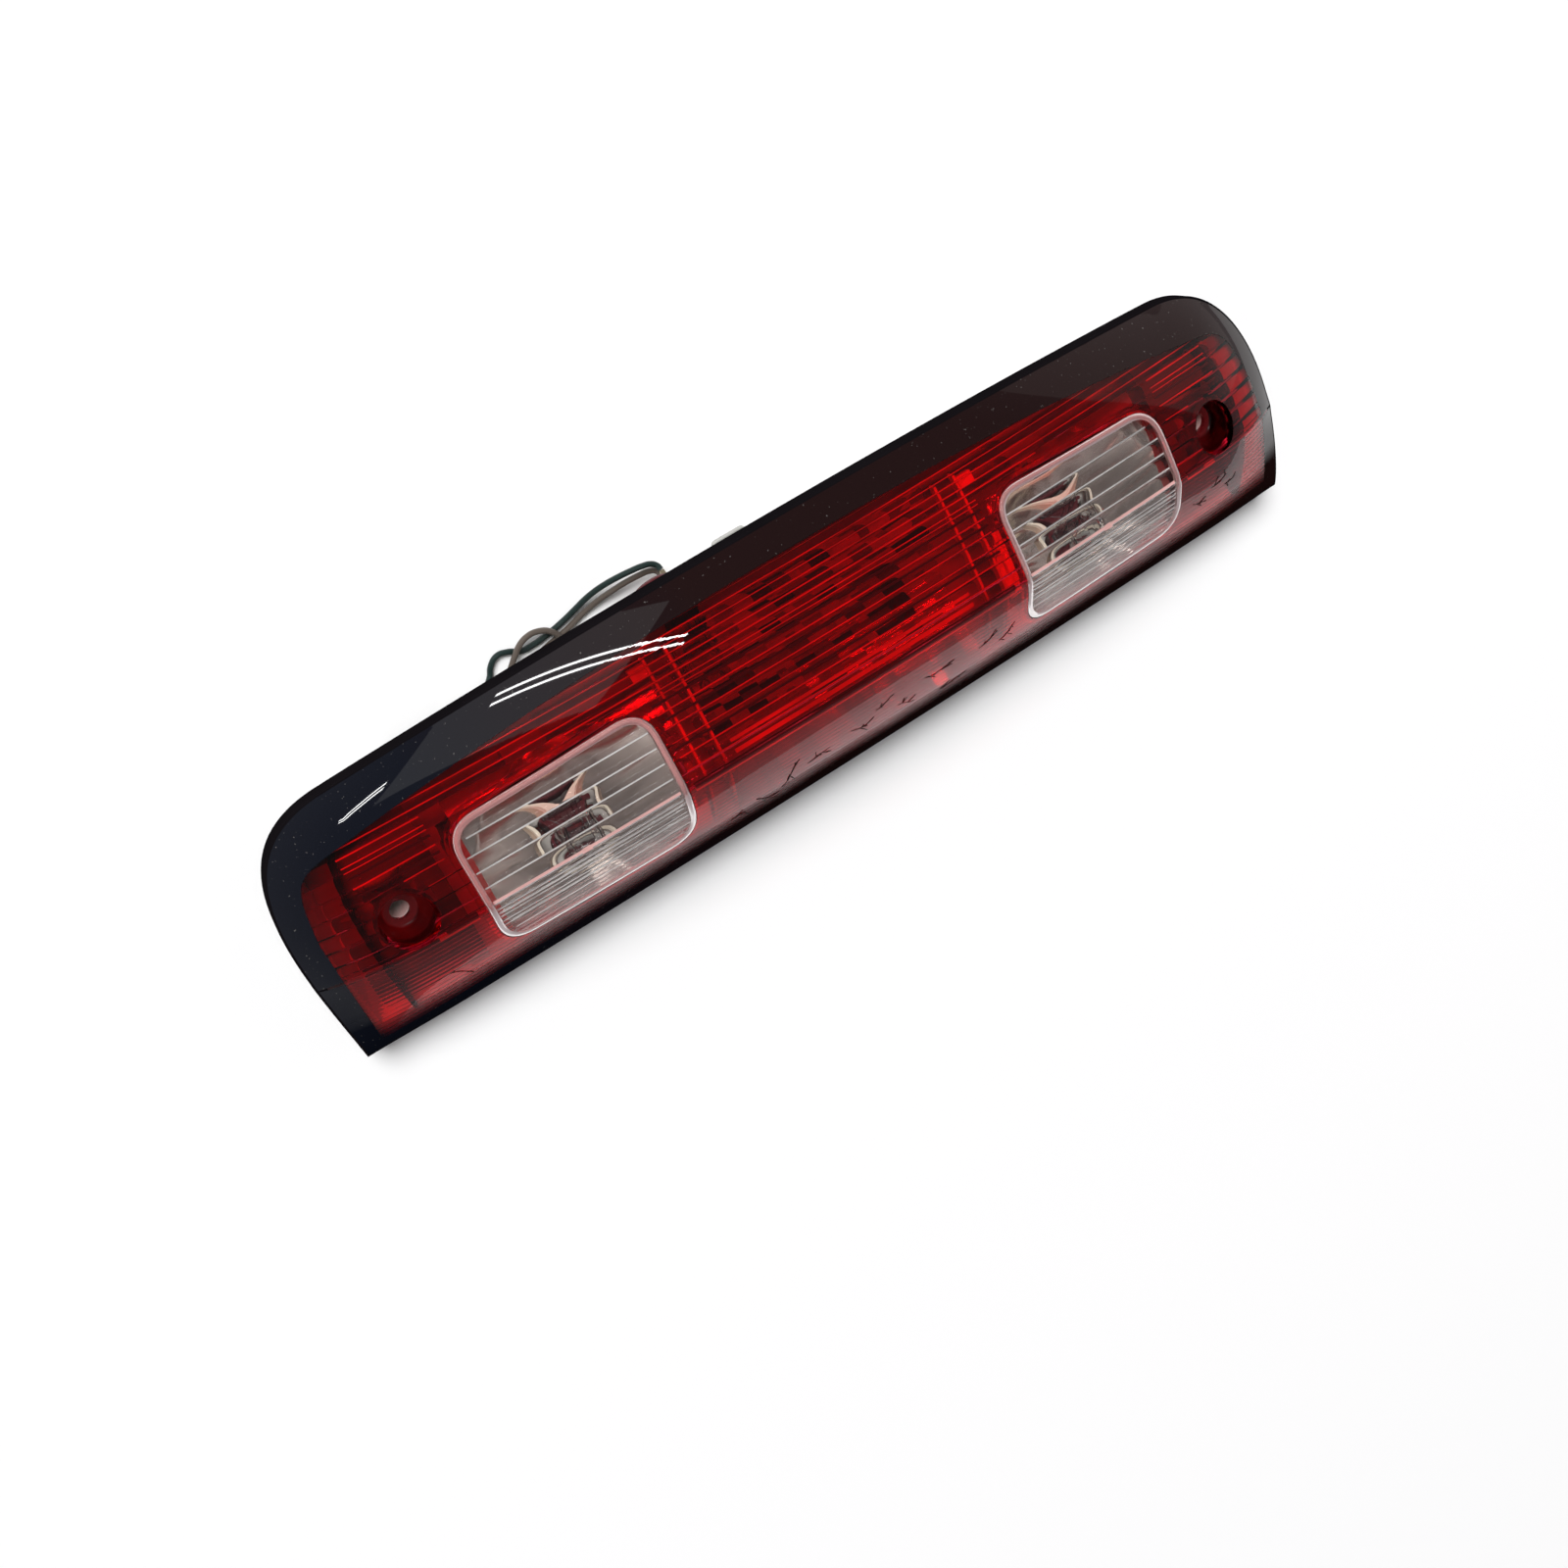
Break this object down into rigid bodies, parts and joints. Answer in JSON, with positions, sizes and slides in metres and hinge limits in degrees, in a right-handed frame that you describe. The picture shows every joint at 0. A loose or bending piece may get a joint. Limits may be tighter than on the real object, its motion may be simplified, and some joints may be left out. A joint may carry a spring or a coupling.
{
  "type": "third brake light",
  "caption": "Wide crowned cab-mounted third brake light: red faceted lens between clear cargo-lamp windows, twist-lock bulb sockets and a wire pigtail.",
  "frame": {"origin": "middle of the underside; the lamp lies on the flat back of its housing", "axes": "+X along the lamp, +Y towards the edge that is uppermost on the vehicle, +Z the way the light leaves the lens"},
  "size_m": [0.426, 0.1062, 0.056],
  "materials": {
    "red_lens": "polished, transparent red, with a black painted border",
    "clear_lens": "polished, clear, with lengthwise flutes",
    "housing_grey": "moulded, light grey",
    "foam_black": "closed-cell foam",
    "reflector_bright": "vacuum-metallised plastic",
    "socket_maroon": "moulded, dark maroon",
    "seal_rubber": "soft, dull",
    "bulb_glass": "clear",
    "filament_wire": "fine tungsten wire",
    "contact_brass": "tinned in places",
    "wire_dark": "smooth insulation, very dark green",
    "wire_brown": "smooth insulation, taupe brown",
    "connector_black": "moulded, black"
  },
  "bodies": {
    "lamp": {"outer_lens": "red_lens", "window_left": "clear_lens", "window_right": "clear_lens", "rear_housing": "housing_grey", "body_gasket": "foam_black", "cargo_reflector_left": "reflector_bright", "cargo_reflector_right": "reflector_bright", "brake_reflector": "reflector_bright", "wire_brake_dark": "wire_dark", "wire_brake_brown": "wire_brown", "wire_left_dark": "wire_dark", "wire_left_brown": "wire_brown", "wire_right_dark": "wire_dark", "wire_right_brown": "wire_brown", "connector_body": "connector_black"},
    "cargo_socket_left": {"socket_cargo_left": "socket_maroon", "seal_cargo_left": "seal_rubber", "bulb_glass_cargo_left": "bulb_glass", "bulb_base_cargo_left": "bulb_glass", "filament_cargo_left": "filament_wire", "contact_cargo_left_1": "contact_brass", "contact_cargo_left_2": "contact_brass"},
    "cargo_socket_right": {"socket_cargo_right": "socket_maroon", "seal_cargo_right": "seal_rubber", "bulb_glass_cargo_right": "bulb_glass", "bulb_base_cargo_right": "bulb_glass", "filament_cargo_right": "filament_wire", "contact_cargo_right_1": "contact_brass", "contact_cargo_right_2": "contact_brass"},
    "brake_socket": {"socket_brake": "socket_maroon", "seal_brake": "seal_rubber", "bulb_glass_brake": "bulb_glass", "bulb_base_brake": "bulb_glass", "filament_brake": "filament_wire", "contact_brake_1": "contact_brass", "contact_brake_2": "contact_brass"},
    "latch": {"connector_latch": "connector_black"}
  },
  "joints": [
    {"name": "cargo_socket_left_twist", "type": "hinge", "parent": "lamp", "child": "cargo_socket_left", "pos_m": [-0.11, -0.012, 0.017], "axis": [0, 0, 1], "range_deg": [0, 40]},
    {"name": "cargo_socket_right_twist", "type": "hinge", "parent": "lamp", "child": "cargo_socket_right", "pos_m": [0.11, -0.012, 0.017], "axis": [0, 0, 1], "range_deg": [0, 40]},
    {"name": "brake_socket_twist", "type": "hinge", "parent": "lamp", "child": "brake_socket", "pos_m": [-0.0435, 0.0335, 0.0175], "axis": [0, -0.8, 0.6], "range_deg": [0, 40]},
    {"name": "latch_rock", "type": "hinge", "parent": "lamp", "child": "latch", "pos_m": [-0.138, 0.033, 0.0098], "axis": [0, 1, 0], "range_deg": [0, 6], "stiffness_Nm_per_rad": 0.02}
  ]
}
